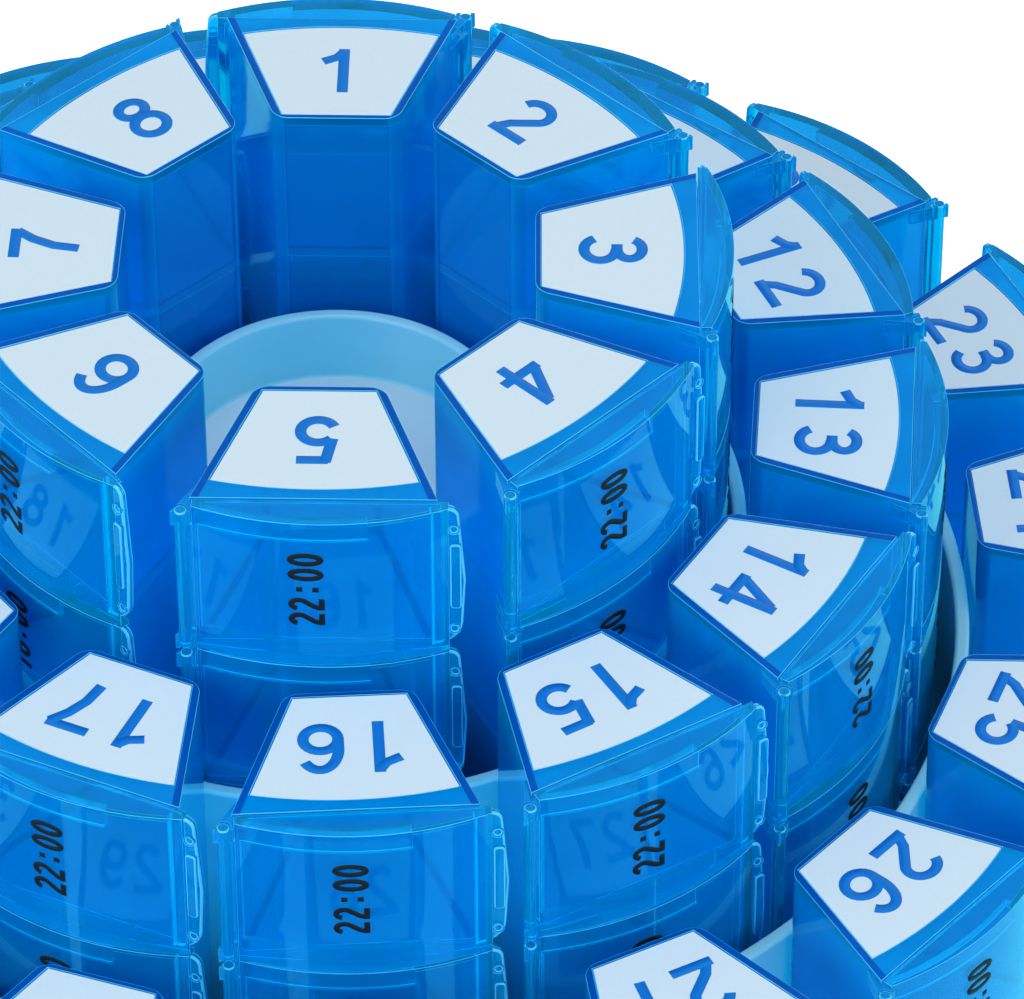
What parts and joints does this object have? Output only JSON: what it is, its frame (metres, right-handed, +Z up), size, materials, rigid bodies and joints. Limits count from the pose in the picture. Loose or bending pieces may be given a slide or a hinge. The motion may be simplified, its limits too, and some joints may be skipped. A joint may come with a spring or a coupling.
{
  "type": "monthly pill organizer",
  "caption": "Round stepped tower of removable wedge-shaped day stacks in three rings, each stack with four compartments behind side-hinged doors and a number card on top",
  "frame": {"origin": "centre of the stand's underside, on the surface that it stands on", "axes": "+Z up along the tower's axis, -Y towards the viewer of the picture, +X to the right"},
  "size_m": [0.2364, 0.2364, 0.1574],
  "materials": {
    "blue": "translucent gloss",
    "stand": "translucent gloss",
    "card": "matte"
  },
  "bodies": {
    "stand": {"outer_tray": "stand", "middle_well": "stand", "centre_well": "stand"},
    "day_01": {"day_01_stack": "blue"},
    "day_02": {"day_02_stack": "blue"},
    "day_03": {"day_03_stack": "blue"},
    "day_04": {"day_04_stack": "blue"},
    "day_05": {"day_05_case": "blue", "day_05_card": "card", "day_05_lower_doors": "blue"},
    "day_05_night_door": {"day_05_night_door": "blue"},
    "day_06": {"day_06_stack": "blue"},
    "day_07": {"day_07_stack": "blue"},
    "day_08": {"day_08_stack": "blue"},
    "day_09": {"day_09_stack": "blue"},
    "day_10": {"day_10_stack": "blue"},
    "day_11": {"day_11_stack": "blue"},
    "day_12": {"day_12_stack": "blue"},
    "day_13": {"day_13_stack": "blue"},
    "day_14": {"day_14_stack": "blue"},
    "day_15": {"day_15_case": "blue", "day_15_card": "card", "day_15_lower_doors": "blue"},
    "day_15_night_door": {"day_15_night_door": "blue"},
    "day_16": {"day_16_case": "blue", "day_16_card": "card", "day_16_lower_doors": "blue"},
    "day_16_night_door": {"day_16_night_door": "blue"},
    "day_17": {"day_17_stack": "blue"},
    "day_18": {"day_18_stack": "blue"},
    "day_19": {"day_19_stack": "blue"},
    "day_20": {"day_20_stack": "blue"},
    "day_21": {"day_21_stack": "blue"},
    "day_22": {"day_22_stack": "blue"},
    "day_23": {"day_23_stack": "blue"},
    "day_24": {"day_24_stack": "blue"},
    "day_25": {"day_25_stack": "blue"},
    "day_26": {"day_26_case": "blue", "day_26_card": "card", "day_26_lower_doors": "blue"},
    "day_26_noon_door": {"day_26_noon_door": "blue"},
    "day_26_evening_door": {"day_26_evening_door": "blue"},
    "day_26_night_door": {"day_26_night_door": "blue"},
    "day_27": {"day_27_stack": "blue"},
    "day_28": {"day_28_stack": "blue"},
    "day_29": {"day_29_stack": "blue"},
    "day_30": {"day_30_stack": "blue"},
    "day_31": {"day_31_stack": "blue"},
    "spare_1": {"spare_1_stack": "blue"},
    "spare_2": {"spare_2_stack": "blue"},
    "spare_3": {"spare_3_stack": "blue"},
    "spare_4": {"spare_4_stack": "blue"},
    "spare_5": {"spare_5_stack": "blue"},
    "spare_6": {"spare_6_stack": "blue"}
  },
  "joints": [
    {"name": "day_01_lift", "type": "slide", "parent": "stand", "child": "day_01", "axis": [0, 0, 1], "range_m": [0, 0.11]},
    {"name": "day_02_lift", "type": "slide", "parent": "stand", "child": "day_02", "axis": [0, 0, 1], "range_m": [0, 0.11]},
    {"name": "day_03_lift", "type": "slide", "parent": "stand", "child": "day_03", "axis": [0, 0, 1], "range_m": [0, 0.11]},
    {"name": "day_04_lift", "type": "slide", "parent": "stand", "child": "day_04", "axis": [0, 0, 1], "range_m": [0, 0.11]},
    {"name": "day_05_lift", "type": "slide", "parent": "stand", "child": "day_05", "axis": [0, 0, 1], "range_m": [0, 0.11]},
    {"name": "day_05_night_door_hinge", "type": "hinge", "parent": "day_05", "child": "day_05_night_door", "pos_m": [-0.01993, -0.05007, 0.1448], "axis": [0, 0, -1], "range_deg": [0, 110]},
    {"name": "day_06_lift", "type": "slide", "parent": "stand", "child": "day_06", "axis": [0, 0, 1], "range_m": [0, 0.11]},
    {"name": "day_07_lift", "type": "slide", "parent": "stand", "child": "day_07", "axis": [0, 0, 1], "range_m": [0, 0.11]},
    {"name": "day_08_lift", "type": "slide", "parent": "stand", "child": "day_08", "axis": [0, 0, 1], "range_m": [0, 0.11]},
    {"name": "day_09_lift", "type": "slide", "parent": "stand", "child": "day_09", "axis": [0, 0, 1], "range_m": [0, 0.11]},
    {"name": "day_10_lift", "type": "slide", "parent": "stand", "child": "day_10", "axis": [0, 0, 1], "range_m": [0, 0.11]},
    {"name": "day_11_lift", "type": "slide", "parent": "stand", "child": "day_11", "axis": [0, 0, 1], "range_m": [0, 0.11]},
    {"name": "day_12_lift", "type": "slide", "parent": "stand", "child": "day_12", "axis": [0, 0, 1], "range_m": [0, 0.11]},
    {"name": "day_13_lift", "type": "slide", "parent": "stand", "child": "day_13", "axis": [0, 0, 1], "range_m": [0, 0.11]},
    {"name": "day_14_lift", "type": "slide", "parent": "stand", "child": "day_14", "axis": [0, 0, 1], "range_m": [0, 0.11]},
    {"name": "day_15_lift", "type": "slide", "parent": "stand", "child": "day_15", "axis": [0, 0, 1], "range_m": [0, 0.11]},
    {"name": "day_15_night_door_hinge", "type": "hinge", "parent": "day_15", "child": "day_15_night_door", "pos_m": [0.02403, -0.07891, 0.1178], "axis": [0, 0, -1], "range_deg": [0, 110]},
    {"name": "day_16_lift", "type": "slide", "parent": "stand", "child": "day_16", "axis": [0, 0, 1], "range_m": [0, 0.11]},
    {"name": "day_16_night_door_hinge", "type": "hinge", "parent": "day_16", "child": "day_16_night_door", "pos_m": [-0.0154, -0.08104, 0.1178], "axis": [0, 0, -1], "range_deg": [0, 110]},
    {"name": "day_17_lift", "type": "slide", "parent": "stand", "child": "day_17", "axis": [0, 0, 1], "range_m": [0, 0.11]},
    {"name": "day_18_lift", "type": "slide", "parent": "stand", "child": "day_18", "axis": [0, 0, 1], "range_m": [0, 0.11]},
    {"name": "day_19_lift", "type": "slide", "parent": "stand", "child": "day_19", "axis": [0, 0, 1], "range_m": [0, 0.11]},
    {"name": "day_20_lift", "type": "slide", "parent": "stand", "child": "day_20", "axis": [0, 0, 1], "range_m": [0, 0.11]},
    {"name": "day_21_lift", "type": "slide", "parent": "stand", "child": "day_21", "axis": [0, 0, 1], "range_m": [0, 0.11]},
    {"name": "day_22_lift", "type": "slide", "parent": "stand", "child": "day_22", "axis": [0, 0, 1], "range_m": [0, 0.11]},
    {"name": "day_23_lift", "type": "slide", "parent": "stand", "child": "day_23", "axis": [0, 0, 1], "range_m": [0, 0.11]},
    {"name": "day_24_lift", "type": "slide", "parent": "stand", "child": "day_24", "axis": [0, 0, 1], "range_m": [0, 0.11]},
    {"name": "day_25_lift", "type": "slide", "parent": "stand", "child": "day_25", "axis": [0, 0, 1], "range_m": [0, 0.11]},
    {"name": "day_26_lift", "type": "slide", "parent": "stand", "child": "day_26", "axis": [0, 0, 1], "range_m": [0, 0.11]},
    {"name": "day_26_noon_door_hinge", "type": "hinge", "parent": "day_26", "child": "day_26_noon_door", "pos_m": [0.0697, -0.08945, 0.0418], "axis": [0, 0, -1], "range_deg": [0, 110]},
    {"name": "day_26_evening_door_hinge", "type": "hinge", "parent": "day_26", "child": "day_26_evening_door", "pos_m": [0.0697, -0.08945, 0.067], "axis": [0, 0, -1], "range_deg": [0, 110]},
    {"name": "day_26_night_door_hinge", "type": "hinge", "parent": "day_26", "child": "day_26_night_door", "pos_m": [0.0697, -0.08945, 0.0922], "axis": [0, 0, -1], "range_deg": [0, 110]},
    {"name": "day_27_lift", "type": "slide", "parent": "stand", "child": "day_27", "axis": [0, 0, 1], "range_m": [0, 0.11]},
    {"name": "day_28_lift", "type": "slide", "parent": "stand", "child": "day_28", "axis": [0, 0, 1], "range_m": [0, 0.11]},
    {"name": "day_29_lift", "type": "slide", "parent": "stand", "child": "day_29", "axis": [0, 0, 1], "range_m": [0, 0.11]},
    {"name": "day_30_lift", "type": "slide", "parent": "stand", "child": "day_30", "axis": [0, 0, 1], "range_m": [0, 0.11]},
    {"name": "day_31_lift", "type": "slide", "parent": "stand", "child": "day_31", "axis": [0, 0, 1], "range_m": [0, 0.11]},
    {"name": "spare_1_lift", "type": "slide", "parent": "stand", "child": "spare_1", "axis": [0, 0, 1], "range_m": [0, 0.11]},
    {"name": "spare_2_lift", "type": "slide", "parent": "stand", "child": "spare_2", "axis": [0, 0, 1], "range_m": [0, 0.11]},
    {"name": "spare_3_lift", "type": "slide", "parent": "stand", "child": "spare_3", "axis": [0, 0, 1], "range_m": [0, 0.11]},
    {"name": "spare_4_lift", "type": "slide", "parent": "stand", "child": "spare_4", "axis": [0, 0, 1], "range_m": [0, 0.11]},
    {"name": "spare_5_lift", "type": "slide", "parent": "stand", "child": "spare_5", "axis": [0, 0, 1], "range_m": [0, 0.11]},
    {"name": "spare_6_lift", "type": "slide", "parent": "stand", "child": "spare_6", "axis": [0, 0, 1], "range_m": [0, 0.11]}
  ]
}
